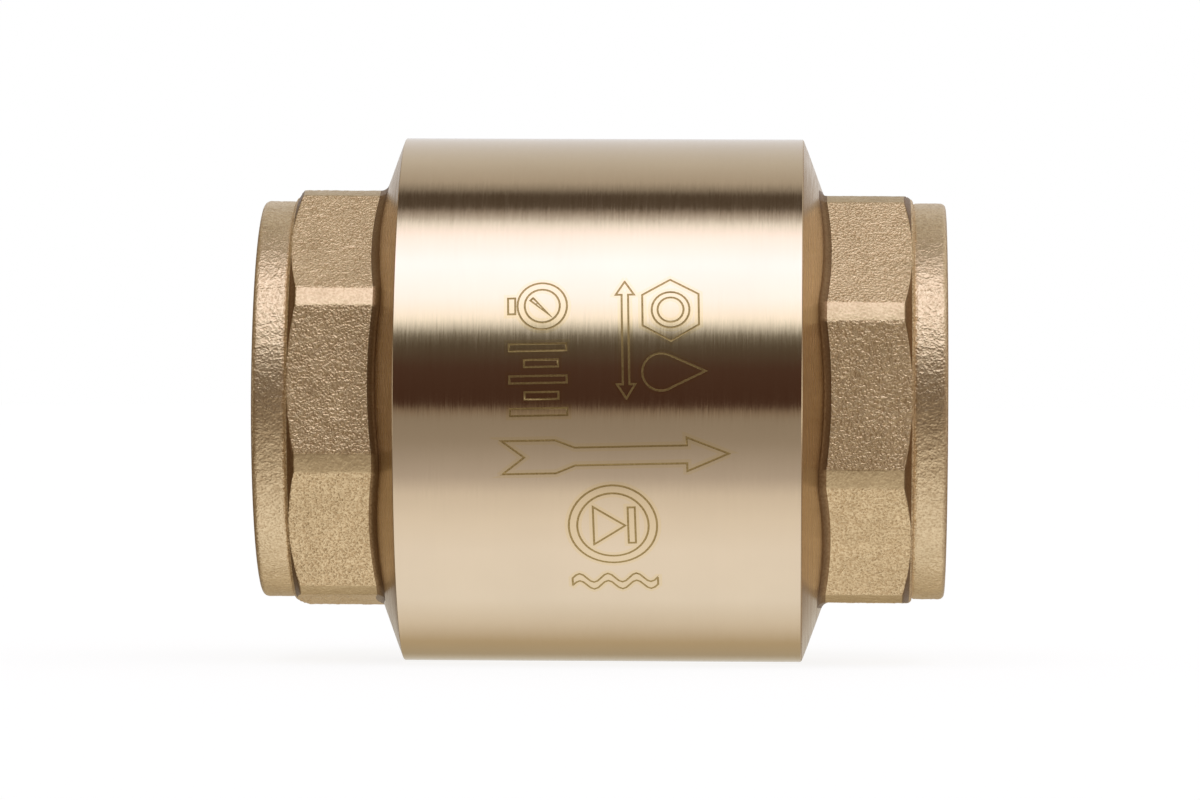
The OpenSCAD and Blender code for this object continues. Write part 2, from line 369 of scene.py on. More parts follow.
def thread_rows(loft, side):
    """Rows of a port, from the port face to the foot of its tool relief, with a right-hand pipe thread."""
    loft.edge(side * FACE_X, COLLAR_R - COLLAR_EDGE, MIDDLE, BORED)
    loft.add(ring(side * FACE_X, (COLLAR_R + MOUTH_R) / 2, COARSE), BORED)
    loft.edge(side * FACE_X, MOUTH_R, COARSE, BORED)
    turn = angles(COARSE) / (2 * pi)
    rows = ceil(PORT_L / THREAD_PITCH * THREAD_STEPS)
    for k in range(1, rows):
        x = FACE_X - PORT_L * k / rows
        phase = (side * x / THREAD_PITCH - turn) % 1
        flank = np.clip((np.abs(2 * phase - 1) - THREAD_FLAT) / (1 - 2 * THREAD_FLAT), 0, 1)
        wave = (1 - np.cos(pi * flank)) / 2
        cut = PORT_R + THREAD_DEPTH * (wave * THREAD_ROUND + flank * (1 - THREAD_ROUND))
        mouth = MOUTH_R - (FACE_X - x)
        loft.add(ring(side * x, np.maximum(cut, mouth), COARSE), BORED)
    loft.edge(side * PORT_END_X, RELIEF_R, COARSE, BORED)
    loft.edge(side * THROAT_X, RELIEF_R, COARSE, BORED)


def bored_rows(loft, section):
    """Turned rows inside, through an open section of (x, radius) with softened edges, after its first point."""
    for x, r in rounded(section, BORED_EDGE, 2, closed=False)[1:]:
        loft.add(ring(x, r, COARSE), BORED)


# ---- engraved marks on the barrel

LINE_HALF = 0.08  # half the width of an engraved line
LINE_DEPTH = 0.02
TINT_HALF = 0.32  # the metal is tinted by heat this far from each line
PATCH_X = (-9.0, 12.0)  # the engraved part of the barrel along the axis
PATCH_UP = (-19.0, 11.5)  # and round it, measured along the surface, upwards from the middle of the front
MARK_TILT = 1.4  # the marks lean this many degrees against the axis
MARK_CENTRE = (1.4, -4.3)


def block(x, up, w, h):
    """A rectangle with its middle at (x, up)."""
    return [(x + w * i / 2, up + h * j / 2) for i, j in ((-1, -1), (1, -1), (1, 1), (-1, 1))]


def flow_arrow(up):
    """An arrow in the direction of flow, with a notched tail."""
    half = [(-7.3, 1.3), (-3.2, 1.3), (-1.7, 0.7), (6.9, 0.7), (6.9, 1.32)]
    lower = [(x, up - u) for x, u in reversed(half)]
    return [(x, up + u) for x, u in half] + [(10.1, up)] + lower + [(-5.6, up)]


def check_symbol(x, up):
    """The drawing symbol of a check valve, a triangle against a bar, in a ring above a wave of water."""
    ring_up = up + 1.35
    triangle = [(x - 1.5, ring_up - 1.65), (x - 1.5, ring_up + 1.65), (x + 0.95, ring_up)]
    wave = [(x - 3.3 + 0.275 * k, up - 3.6 + 0.45 * sin(k * pi / 4)) for k in range(25)]
    under = [(a, b - 0.75) for a, b in reversed(wave)]
    return [circle(x, ring_up, 3.4, 48), circle(x, ring_up, 2.75, 44), triangle, block(x + 1.45, ring_up, 0.55, 3.1),
            wave + under]


def turned_down(outlines, x, up):
    """Outlines of (right, up) moved so that they read down the barrel, their own up along the flow, from (x, up)."""
    return [[(x + v, up - u) for u, v in line] for line in outlines]


def gauge_sign():
    """A pressure gauge: dial, needle, pipe stub, and a graduated scale beside it."""
    dial = [circle(2.0, 0.4, 1.9, 36), circle(2.0, 0.4, 1.35, 30)]
    needle = [[(1.35, -0.3), (1.55, -0.5), (2.9, 1.1)]]
    stub = [block(2.0, -1.95, 1.3, 0.55)]
    scale = [block(5.3 + 1.25 * k, 0.25 if k % 2 else 0.0, 0.55, 2.6 if k % 2 else 4.4) for k in range(5)]
    return dial + needle + stub + scale


def thread_sign():
    """A hexagon end with its round port, a drop of water, and a size arrow under both."""
    nut = [circle(2.5, 0.9, 2.5, 6), circle(2.5, 0.9, 1.45, 30), circle(2.5, 0.9, 1.0, 24)]
    x, r = 7.4, 1.45
    drop = [(x, 3.5)] + [(x + r * cos(radians(a)), 0.1 + r * sin(radians(a))) for a in range(35, -216, -14)]
    arrow = [(0.1, -2.6), (1.2, -3.3), (1.2, -2.85), (8.3, -2.85), (8.3, -3.3), (9.4, -2.6), (8.3, -1.9),
             (8.3, -2.35), (1.2, -2.35), (1.2, -1.9)]
    return nut + [drop, arrow]


def mark_outlines():
    """Every engraved outline as closed lines of (along the axis, up round the barrel)."""
    outlines = [flow_arrow(MARK_CENTRE[1])]
    outlines += check_symbol(1.05, -11.4)
    outlines += turned_down(gauge_sign(), -4.4, 9.5)
    outlines += turned_down(thread_sign(), 4.95, 9.5)
    c, s = cos(radians(MARK_TILT)), sin(radians(MARK_TILT))
    mx, mu = MARK_CENTRE
    return [[(mx + (x - mx) * c - (u - mu) * s, mu + (x - mx) * s + (u - mu) * c) for x, u in line]
            for line in outlines]


LEAST_MITRE = 0.2  # keeps the corner of a very sharp angle from running away


def offset_line(line, h):
    """A closed line moved sideways by h, with mitred corners."""
    out = []
    for i, p in enumerate(line):
        a, b = line[i - 1], line[(i + 1) % len(line)]
        d1 = Vector((p[0] - a[0], p[1] - a[1])).normalized()
        d2 = Vector((b[0] - p[0], b[1] - p[1])).normalized()
        n = Vector((-d1.y - d2.y, d1.x + d2.x)).normalized()
        reach = h / max(n.dot(Vector((-d1.y, d1.x))), LEAST_MITRE)
        out.append((p[0] + n.x * reach, p[1] + n.y * reach))
    return out


def line_distance(points, lines):
    """Distance from each point to the nearest of the closed lines."""
    best = np.full(len(points), 1e9)
    for line in lines:
        a = np.array(line)
        b = np.roll(a, -1, axis=0)
        for p, q in zip(a, b):
            d = q - p
            t = np.clip(((points - p) @ d) / (d @ d), 0, 1)
            best = np.minimum(best, np.hypot(*(points - p - t[:, None] * d).T))
    return best


def engraved_patch(first, second):
    """The stretch of barrel between two rows that carries the marks, cut into flat strips with V-shaped lines.
    first and second are the vertex numbers at which the rows at PATCH_X[1] and PATCH_X[0] start.
    Returns the columns it covers, new vertices, faces and zones. New vertices are numbered from -1 downwards."""
    up = BARREL_R * (pi - angles(MIDDLE))
    columns = [i for i in range(MIDDLE) if PATCH_UP[0] < up[i] < PATCH_UP[1]]
    points, owners, edges = [], [], []
    for i in columns:
        edges.append((len(points), len(points) + 1))
        points += [(PATCH_X[1], up[i]), (PATCH_X[0], up[i])]
        owners += [first + i, second + i]
    lines = mark_outlines()
    for line in lines:
        for h in (-TINT_HALF, -LINE_HALF, 0.0, LINE_HALF, TINT_HALF):
            moved = offset_line(line, h) if h else line
            edges += loop_edges(len(points), len(moved))
            points += moved
            owners += [None] * len(moved)
    found, _, faces, origin, _, _ = delaunay_2d_cdt([Vector(p) for p in points], edges, [], 0, 1e-5)
    flat = np.array([(v.x, v.y) for v in found])
    share = np.clip(1 - line_distance(flat, lines) / LINE_HALF, 0, 1)
    number, new = {}, []
    for i, sources in enumerate(origin):
        owner = next((owners[k] for k in sources if owners[k] is not None), None)
        if owner is None:
            a = pi - flat[i, 1] / BARREL_R
            r = BARREL_R - LINE_DEPTH * share[i]
            new.append((flat[i, 0], r * cos(a), r * sin(a)))
            owner = -len(new)
        number[i] = owner
    middles = np.array([flat[list(f)].mean(axis=0) for f in faces])
    away = line_distance(middles, lines) / 0.999      # so that a face beyond a line's edge never counts as in it
    reached = np.where(away < TINT_HALF, TINTED, TURNED)
    reached = np.where(away < LINE_HALF, ENGRAVED, reached)
    out, zones = [], []
    for f, zone in zip(faces, reached.tolist()):
        (x0, y0), (x1, y1), (x2, y2) = (flat[k] for k in f)
        turned = (x1 - x0) * (y2 - y0) - (x2 - x0) * (y1 - y0)
        if abs(turned) < 1e-9:      # a sliver without any area
            continue
        f = f if turned < 0 else tuple(reversed(f))
        out.append(tuple(number[k] for k in f))
        zones.append(zone)
    return columns, new, out, zones


def radial_normals(obj, zones):
    """Exact outward normals on the barrel's faces, so that long reflections stay straight."""
    mesh = obj.data
    normals = read_mesh(mesh.corner_normals, "vector", 3, np.float32)
    at = read_mesh(mesh.loops, "vertex_index", 1)
    out = read_mesh(mesh.vertices, "co", 3, np.float32)[at] * (0, 1, 1)
    out /= np.linalg.norm(out, axis=1, keepdims=True)
    zone = read_mesh(mesh.polygons, "material_index", 1)
    corners = read_mesh(mesh.polygons, "loop_total", 1)
    on_barrel = np.isin(np.repeat(zone, corners), zones)
    normals[on_barrel] = out[on_barrel]
    mesh.normals_split_custom_set(normals.tolist())


def build_inlet_body():
    """The inlet's forging with the whole barrel, the valve seat and the inlet port."""
    loft = Loft()
    edge = 0.1
    loft.edge(BARREL_X - edge, BARREL_R, MIDDLE, TURNED)
    loft.add(ring(PATCH_X[1], BARREL_R, MIDDLE), TURNED)
    loft.add(ring(PATCH_X[0], BARREL_R, MIDDLE), TURNED)
    loft.edge(-BARREL_X + edge / 2, BARREL_R, MIDDLE, SHOULDER)
    loft.edge(-BARREL_X, BARREL_R - edge / 2, MIDDLE, SHOULDER)
    end_rows(loft, -1, INLET_TURN)
    thread_rows(loft, -1)
    gland_x = BARREL_X - GLAND_L
    bored_rows(loft, [(-THROAT_X, RELIEF_R), (-THROAT_X, SEAT_R + SEAT_CHAMFER), (-THROAT_X + SEAT_CHAMFER, SEAT_R),
                      (SEAT_X, SEAT_R), (SEAT_X, SEAT_R + 0.6), (SEAT_FLOOR_X, SEAT_R + 1.5),
                      (SEAT_FLOOR_X, CHAMBER_R), (JOINT_END_X, CHAMBER_R), (JOINT_END_X, JOINT_R),
                      (gland_x, JOINT_R), (gland_x, GLAND_R), (BARREL_X, GLAND_R)])
    loft.edge(BARREL_X, BARREL_R - edge, MIDDLE, SHOULDER)
    vertices, faces, zones, marks = loft.skin(skip=(1,))

    # the band between the patch's two rows: plain round the back, engraved at the front
    first, second = MIDDLE, 2 * MIDDLE
    columns, new, cut, cut_zones = engraved_patch(first, second)
    plain = [face for i, face in enumerate(quads(first, second, MIDDLE)) if i not in columns[:-1]]
    base = len(vertices)
    faces += plain + [tuple(k if k >= 0 else base - 1 - k for k in f) for f in cut]
    zones += [TURNED] * len(plain) + cut_zones
    marks = np.append(marks, [-1] * len(new))
    obj = make_mesh("inlet_body_brass", np.vstack([vertices, new]), faces, zones, marks, flip=True)
    radial_normals(obj, (TURNED, TINTED))
    return obj


def build_outlet_cap():
    """The outlet's forging, with a spigot that goes into the barrel, and the groove for the circlip."""
    loft = Loft()
    spigot_x, spigot_r, edge = JOINT_END_X + 0.5, JOINT_R - 0.05, 0.08
    groove_x0, groove_x1 = span("guide_circlip", 0)[0] - CLIP_PLAY, span("guide_circlip", 0)[1] + CLIP_PLAY
    shelf_x = groove_x1 + GUIDE_L
    loft.edge(spigot_x, spigot_r, COARSE, BORED)
    loft.edge(BARREL_X, spigot_r, COARSE, BORED)
    loft.edge(BARREL_X, BARREL_R - edge, MIDDLE, SHOULDER)
    end_rows(loft, 1, OUTLET_TURN)
    thread_rows(loft, 1)
    bored_rows(loft, [(THROAT_X, RELIEF_R), (THROAT_X, OUTLET_THROAT_R), (shelf_x, OUTLET_THROAT_R),
                      (shelf_x, GUIDE_SEAT_R), (groove_x1, GUIDE_SEAT_R), (groove_x1, CLIP_GROOVE_R),
                      (groove_x0, CLIP_GROOVE_R), (groove_x0, GUIDE_SEAT_R), (spigot_x, GUIDE_SEAT_R)])
    return make_mesh("outlet_cap_brass", *loft.skin())


# ---- inner parts


def turned_part(name, section, columns=96, soften=0.1):
    """A ring-shaped part from its closed section of (x, radius), with softened edges."""
    loft = Loft()
    for x, r in rounded(section, soften, 2):
        loft.add(ring(x, r, columns))
    area = sum(a[0] * b[1] - b[0] * a[1] for a, b in zip(section, section[1:] + section[:1]))
    return make_mesh(name, *loft.skin(), flip=area > 0)


def solid_part(name, rows):
    """A part with closed ends on the axis, from rows of vertices in order of rising x."""
    n, count = len(rows[0]), len(rows)
    vertices = np.vstack(rows + [[(row[0, 0], 0, 0)] for row in (rows[0], rows[-1])])
    faces = []
    for k in range(count - 1):
        faces += quads(k * n, (k + 1) * n, n)
    middle = count * n       # the vertex in the middle of the first end; the last end's comes next
    faces += [(middle, j, i) for i, j in loop_edges(0, n)]
    faces += [(middle + 1, i, j) for i, j in loop_edges(middle - n, n)]
    return make_mesh(name, vertices, faces)


def thread_cut(x, columns):
    """Depth share from 0 at the crest to 1 at the root of the stem's thread, one value per column."""
    phase = (x / SCREW_PITCH - angles(columns) / (2 * pi)) % 1
    return np.clip((1 - np.abs(2 * phase - 1)) * 1.3 - 0.15, 0, 1)     # level over 0.15 of the way at both


def build_stem():
    """The rod: a screw thread at the inlet end, the stop collar, and a plain tail that slides in the bush."""
    x0, x1 = span("stem", 0)
    stop0, stop1 = span("back_plate", 0)[1], span("guide_bush", 0)[0] - (LIFT + STOP_PLAY)
    thread_end = span("seal_washer", 0)[0]
    depth, tip, columns, steps = 0.4, 0.5, 72, 10
    rows = []
    count = ceil((thread_end - x0) / (SCREW_PITCH / steps))
    for k in range(count + 1):
        x = x0 + (thread_end - x0) * k / count
        taper = STEM_R - tip + tip * min(1.0, (x - x0) / tip)
        rows.append(ring(x, np.minimum(STEM_R - thread_cut(x, columns) * depth, taper), columns))
    profile = [(thread_end + 0.2, STEM_R), (stop0, STEM_R), (stop0, STOP_R), (stop1, STOP_R), (stop1, STEM_TAIL_R),
               (x1, STEM_TAIL_R), (x1, 1.2)]
    rows += [ring(x, r, columns) for x, r in rounded(profile, 0.25, 3, closed=False)]
    return solid_part("stem_rod", rows)


def inside_outlines(point, outlines):
    """Whether a point is inside an odd number of closed outlines."""
    y, z = point
    odd = False
    for line in outlines:
        for a, b in zip(line, line[1:] + line[:1]):
            if (a[1] > z) != (b[1] > z) and y < a[0] + (z - a[1]) * (b[0] - a[0]) / (b[1] - a[1]):
                odd = not odd
    return odd


def bevelled_wall(outline, x0, x1, bevel):
    """Wall rows for an outline that has the material on its left, with a bevel at both faces."""
    inner = offset_line(outline, bevel)
    return [(x0, inner), (x0 + bevel, outline), (x1 - bevel, outline), (x1, inner)]


def plate_part(name, walls):
    """A flat part across the axis. Each wall is a list of rows (x, outline) from its front face to its back face."""
    vertices, faces, first_rows, last_rows = [], [], [], []
    for wall in walls:
        count = len(wall[0][1])
        for k, (x, outline) in enumerate(wall):
            if k:
                faces += quads(len(vertices) - count, len(vertices), count)
            vertices += [(x, y, z) for y, z in outline]
        first_rows.append((len(vertices) - count * len(wall), wall[0][1]))
        last_rows.append((len(vertices) - count, wall[-1][1]))
    for rows, facing_back in ((first_rows, False), (last_rows, True)):
        points, owners, edges = [], [], []
        for start, outline in rows:
            edges += loop_edges(len(points), len(outline))
            points += [Vector(p) for p in outline]
            owners += [start + i for i in range(len(outline))]
        found, _, triangles, origin, _, _ = delaunay_2d_cdt(points, edges, [], 0, 1e-6)
        outlines = [outline for _, outline in rows]
        for t in triangles:
            a, b, c = (found[k] for k in t)
            if not inside_outlines(((a.x + b.x + c.x) / 3, (a.y + b.y + c.y) / 3), outlines):
                continue
            rising = (b.x - a.x) * (c.y - a.y) - (b.y - a.y) * (c.x - a.x) > 0
            numbers = tuple(owners[origin[k][0]] for k in t)
            faces.append(numbers if rising == facing_back else tuple(reversed(numbers)))
    obj = make_mesh(name, vertices, faces)
    obj.data.set_sharp_from_angle(angle=radians(35))
    return obj


def build_guide():
    """The spider that holds the bush: a rim, three arms and a hub."""
    x0, x1 = GUIDE_END_X - GUIDE_L, GUIDE_END_X
    hub_x0, hub_x1 = span("outlet_guide", 0)
    rim_r, hub_r, bore = radius("outlet_guide", 2), 3.9, 3.0
    window_r, window_in, arm_half, corner_r = 12.2, 4.5, 1.3, 0.9
    walls = [bevelled_wall(circle(0, 0, rim_r, 144), x0, x1, 0.25)]
    for arm in range(3):
        # each window is an outer arc and then an inner one, whose corners stand apart so that they can be rounded
        outline = []
        for r, start, end, corner, steps in ((window_r, 90, 210, 0.16, 26), (window_in, 210, 90, -0.3, 8)):
            side = asin(arm_half / r) * (1 if corner > 0 else -1)
            a, b = radians(start + 120 * arm) + side, radians(end + 120 * arm) - side
            outline += [(r * cos(t), r * sin(t)) for t in (a, *np.linspace(a + corner, b - corner, steps), b)]
        walls.append(bevelled_wall(rounded(outline, corner_r, 3)[::-1], x0, x1, 0.2))
    fillet, ease, edge, mouth = 0.35, 0.1, 0.2, 0.12
    section = [(x0, hub_r + fillet), (x0 - ease, hub_r + ease), (x0 - fillet, hub_r), (hub_x0 + edge, hub_r),
               (hub_x0, hub_r - edge), (hub_x0, bore + mouth), (hub_x0 + mouth, bore), (hub_x1 - mouth, bore),
               (hub_x1, bore + mouth), (hub_x1, hub_r - edge), (hub_x1 - edge, hub_r), (x1 + fillet, hub_r),
               (x1 + ease, hub_r + ease), (x1, hub_r + fillet)]
    walls.append([(x, circle(0, 0, r, 60, clockwise=True)) for x, r in section])
    return plate_part("outlet_guide_spider", walls)


def build_circlip():
    """A bore circlip with two eyes beside its gap, which faces down."""
    x0, x1 = span("guide_circlip", 0)
    outer_r, inner_r, eye, hole = radius("guide_circlip", 2), 13.9, 1.35, 0.6
    eye_at = outer_r - eye - 0.1          # how far out the eyes' middles are,
    turn = asin(3.51 / eye_at)            # their angle from straight down,
    trim = 0.16                           # and the angle from there to where the inner edge starts
    meet = 360 - degrees(acos((inner_r ** 2 - eye_at ** 2 - eye ** 2) / (2 * eye_at * eye)))

    def at(r, a):
        return (r * sin(a), -r * cos(a))

    outline = [at(outer_r, a) for a in np.linspace(turn, 2 * pi - turn, 110)]
    eye_line, steps = [], 17
    for k in range(1, steps + 1):
        phi = radians(meet * k / steps)
        r, t = eye_at + eye * cos(phi), eye * sin(phi)
        eye_line.append((t * cos(turn) - r * sin(turn), -r * cos(turn) - t * sin(turn)))
    outline += eye_line
    outline += [at(inner_r, a) for a in np.linspace(2 * pi - turn - trim, turn + trim, 96)]
    outline += [(-y, z) for y, z in reversed(eye_line)]
    holes = [circle(*at(eye_at, a), hole, 20, clockwise=True) for a in (turn, -turn)]
    return plate_part("circlip_ring", [bevelled_wall(line, x0, x1, 0.08) for line in [outline] + holes])


def build_lock_washer():
    """A split spring washer."""
    outer_r, inner_r, slit = radius("lock_washer", 2), 2.1, 0.3
    outline = [(r * cos(a), r * sin(a)) for r, way, steps in ((outer_r, 1, 72), (inner_r, -1, 48))
               for a in np.linspace(slit / r, 2 * pi - slit / r, steps)[::way]]
    return plate_part("lock_washer_split", [bevelled_wall(outline, *span("lock_washer", 0), 0.06)])


def build_back_plate():
    """The plate behind the seal: a hub and a lip that hold the seal, a dished back, and the spring's boss."""
    x0, x1 = span("back_plate", 0)
    seal_x = span("seal_washer", 0)[1]
    plate_r, lip_r, hub_r, boss_r = radius("back_plate"), radius("seal_washer") + 0.05, 4.6, 4.9
    back_x, dish_x, lip_x = x1 - 1.5, x1 - 1.5 - 0.35, seal_x - 1.4
    section = [(x0, BORE_R), (x0, hub_r), (seal_x, hub_r), (seal_x, lip_r), (lip_x, lip_r), (lip_x, plate_r),
               (back_x, plate_r), (back_x, plate_r - 1.6), (dish_x, plate_r - 2.0), (dish_x, boss_r + 1.9),
               (back_x, boss_r + 1.5), (back_x, boss_r), (x1, boss_r), (x1, BORE_R)]
    return turned_part("back_plate_disc", section, 128, 0.22)


def build_seal_washer():
    """The soft ring that closes on the seat."""
    (x0, x1), r, bore = span("seal_washer", 0), radius("seal_washer"), 4.65
    return turned_part("seal_washer_ring", [(x0, bore), (x0, r), (x1, r), (x1, bore)], 128, 0.18)


def build_front_plate():
    """The plate that clamps the seal, coned towards the inlet."""
    (x0, x1), r = span("front_plate", 0), radius("front_plate")
    section = [(x0, BORE_R), (x0, r - 2.4), (x0 + 1.2, r), (x1, r), (x1, BORE_R)]
    return turned_part("front_plate_disc", section, 128, 0.2)


def build_bush():
    """The flanged bush that the stem slides in."""
    (x0, x1), flange_r, flange_l, r, bore = span("guide_bush", 0), radius("guide_bush"), 0.6, 2.98, 2.04
    section = [(x0, bore), (x0, flange_r), (x0 + flange_l, flange_r), (x0 + flange_l, r), (x1, r), (x1, bore)]
    return turned_part("guide_bush_sleeve", section, 72, 0.12)


def build_seal_ring():
    """The O-ring between the two forgings."""
    x0, x1 = span("body_seal_ring", 0)
    wire_r = (x1 - x0) / 2
    section = circle((x0 + x1) / 2, radius("body_seal_ring", 2) - wire_r, wire_r, 20)
    return turned_part("body_seal_oring", section, 192, 0.01)


def build_nut():
    """A hexagon nut with its corners and its bore bevelled at both faces."""
    x0, x1 = span("poppet_nut", 0)
    columns, half, bevel, bevel_l, bore, mouth_l, steps = 96, 3.5, 0.12, 0.45, 2.02, 0.35, 32
    hexagon = half / np.cos((angles(columns) + pi / 6) % (pi / 3) - pi / 6)
    corner = half / cos(pi / 6)
    loft = Loft()
    rise = (0.0, 0.25, 0.5, 1.0)
    for x, way, shares in ((x0, 1, rise), (x1, -1, rise[::-1])):
        for t in shares:
            r = np.minimum(hexagon, half - bevel + (corner - half + bevel) * t)
            loft.add(ring(x + way * bevel_l * t, r, columns))
    for k in range(steps + 1):
        x = x1 - (x1 - x0) * k / steps
        loft.add(ring(x, bore + mouth_l - min(x - x0, x1 - x, mouth_l), columns))
    return make_mesh("poppet_nut_hex", *loft.skin())


def build_spring():
    """The return spring as one round wire, with its last turn closed at each end."""
    wire_r, turns, per_turn, sides = 0.45, 8, 40, 14
    coil_r = radius("return_spring") - wire_r
    x0, x1 = span("return_spring", 0)
    rise = x1 - x0 - 6 * wire_r           # of the open turns
    count = turns * per_turn + 1
    section = angles(sides)
    r = coil_r + wire_r * np.cos(section)
    rows, faces = [], []
    for k in range(count):
        turn = k / per_turn
        share = min(max((turn - 1) / (turns - 2), 0), 1)
        closed = min(turn, 1) + max(turn - turns + 1, 0)
        x = x0 + wire_r + closed * 2 * wire_r + share * rise
        rows.append(np.stack([x + wire_r * np.sin(section), r * cos(2 * pi * turn), r * sin(2 * pi * turn)], axis=1))
    for k in range(count - 1):
        faces += quads(k * sides, (k + 1) * sides, sides)
    faces += [tuple(reversed(range(sides))), tuple(range((count - 1) * sides, count * sides))]
    return make_mesh("return_spring_wire", np.vstack(rows), faces, flip=True)


# ---- materials


def add_node(tree, kind, inputs=(), **settings):
    """A new node. inputs maps the name or number of a socket to a constant or to another node's output."""
    node = tree.nodes.new("ShaderNode" + kind)
    for key, value in settings.items():
        setattr(node, key, value)
    for key, value in dict(inputs).items():
        if isinstance(value, bpy.types.NodeSocket):
            tree.links.new(value, node.inputs[key])
        else:
            node.inputs[key].default_value = value
    return node


def math_node(tree, operation, *values):
    """The result of a sum on numbers or outputs."""
    return add_node(tree, "Math", enumerate(values), operation=operation).outputs[0]


def vector_node(tree, operation, inputs):
    """The result of a sum on vectors."""
    return add_node(tree, "VectorMath", inputs, operation=operation).outputs["Vector"]


def noise_at(tree, vector, scale, detail, roughness):
    """Noise at the places that vector gives."""
    inputs = {"Vector": vector, "Scale": scale, "Detail": detail, "Roughness": roughness}
    return add_node(tree, "TexNoise", inputs).outputs["Fac"]


def noise(tree, scale, detail=3.0, stretch=(1, 1, 1), roughness=0.5):
    """Noise in the object's own space. scale is in features per metre."""
    place = add_node(tree, "TexCoord").outputs["Object"]
    mapping = add_node(tree, "Mapping", {"Vector": place, "Scale": stretch})
    return noise_at(tree, mapping.outputs["Vector"], scale, detail, roughness)


def lathe_noise(tree, scale, across, along, detail=3.0, roughness=0.5):
    """Noise in rings round the flow axis: across is how much finer it is across the rings than scale."""
    x, y, z = add_node(tree, "SeparateXYZ", {0: add_node(tree, "TexCoord").outputs["Object"]}).outputs
    squares = [math_node(tree, "MULTIPLY", v, v) for v in (y, z)]
    r = math_node(tree, "SQRT", math_node(tree, "ADD", *squares))
    around = math_node(tree, "ADD", y, z)
    stretched = [math_node(tree, "MULTIPLY", v, factor) for v, factor in ((x, across), (r, across), (around, along))]
    place = add_node(tree, "CombineXYZ", enumerate(stretched)).outputs["Vector"]
    return noise_at(tree, place, scale, detail, roughness)


def remap(tree, value, low, high, start=0.3, end=0.7, kind="LINEAR"):
    """low where value is at start and high where it is at end."""
    inputs = {"Value": value, "From Min": start, "From Max": end, "To Min": low, "To Max": high}
    return add_node(tree, "MapRange", inputs, interpolation_type=kind).outputs["Result"]


def ramp(tree, value, stops):
    """A colour ramp through (position, colour) stops, driven by value."""
    node = add_node(tree, "ValToRGB", {"Fac": value})
    elements = node.color_ramp.elements
    for k, (position, colour) in enumerate(stops):
        stop = elements[k] if k < 2 else elements.new(position)
        stop.position = position
        stop.color = (*colour, 1)
    return node.outputs["Color"]


def tint(tree, value, dark, light, start=0.3, end=0.7):
    """A colour between dark and light, driven by value."""
    return ramp(tree, value, ((start, dark), (end, light)))


def mix(tree, share, first, second, mode="MIX"):
    """Two colours, each a constant or a node's output, combined by share."""
    first, second = ((*c, 1) if isinstance(c, tuple) else c for c in (first, second))
    inputs = {"Factor": share, 6: first, 7: second}
    return add_node(tree, "Mix", inputs, data_type="RGBA", blend_type=mode).outputs[2]


def bump(tree, height, distance, normal=None):
    inputs = {"Height": height, "Distance": distance, "Strength": 1.0}
    if normal is not None:
        inputs["Normal"] = normal
    return add_node(tree, "Bump", inputs).outputs["Normal"]


def hairlines(tree, amount):
    """A normal that leans a little round the axis, differently on each hairline of the turned surface."""
    value = noise(tree, 300, 2.0, (40, 1, 1), 0.6)
    lean = math_node(tree, "MULTIPLY", math_node(tree, "SUBTRACT", value, 0.5), amount)
    normal = add_node(tree, "NewGeometry").outputs["Normal"]
    around = vector_node(tree, "CROSS_PRODUCT", {0: normal, 1: (1, 0, 0)})
    leaned = vector_node(tree, "SCALE", {0: around, "Scale": lean})
    return vector_node(tree, "NORMALIZE", {0: vector_node(tree, "ADD", {0: normal, 1: leaned})})


def material(name, base, metallic, roughness):
    """A Principled material and its node tree."""
    mat = bpy.data.materials.new(name)
    mat.use_nodes = True
    inputs = mat.node_tree.nodes["Principled BSDF"].inputs
    inputs["Base Color"].default_value = (*base, 1)
    inputs["Metallic"].default_value = metallic
    inputs["Roughness"].default_value = roughness
    return mat, mat.node_tree


def drive(mat, colour, normal, roughness=None):
    """Link the outputs that vary over the surface to a material's shader."""
    tree = mat.node_tree
    inputs = tree.nodes["Principled BSDF"].inputs
    for socket, output in (("Base Color", colour), ("Normal", normal), ("Roughness", roughness)):
        if output is not None:
            tree.links.new(output, inputs[socket])
    return mat


def shaded(colour, *shares):
    """A colour scaled by one share, or by one for each channel."""
    return tuple(c * f for c, f in zip(colour, shares * 3))


def turned_brass(name, base, roughness=0.12, line_depth=0.4e-6, wander=6e-6, hair=0.0):
    """Brass off a lathe: fine lines round the axis, and a slight wander that frays the edges of reflections."""
    mat, tree = material(name, base, 1.0, roughness)
    lines = lathe_noise(tree, 900, 11, 0.22, 4.0, 0.6)
    streaks = lathe_noise(tree, 420, 14, 1, 2.0)
    colour = tint(tree, noise(tree, 140), shaded(base, 0.96), base)
    fine = bump(tree, lines, line_depth, hairlines(tree, hair) if hair else None)
    return drive(mat, colour, bump(tree, streaks, wander, fine),
                 remap(tree, lines, roughness * 0.7, roughness * 1.5))


def forged_brass(name, base, roughness=0.42, relief=118e-6, contrast=0.30):
    """Shot-blasted forging skin: dull hollows, darkened partly by oxide and partly by painted shade, and brighter,
    rubbed grain.
    """
    mat, tree = material(name, base, 1.0, roughness)
    grain = noise(tree, 5400, 1.5)
    # the grain's low places are darker: oxide, and painted shade for their occlusion
    hollow_oxide_and_shade = shaded(base, *(1 - contrast * f for f in (0.8, 1.0, 1.2)))
    patches = tint(tree, noise(tree, 420, 4.0), (0.88, 0.87, 0.85), (1, 1, 1))
    colour = mix(tree, 1.0, tint(tree, grain, hollow_oxide_and_shade, base, 0.36, 0.6), patches, "MULTIPLY")
    return drive(mat, colour, bump(tree, grain, relief), remap(tree, grain, roughness * 1.12, roughness * 0.85))


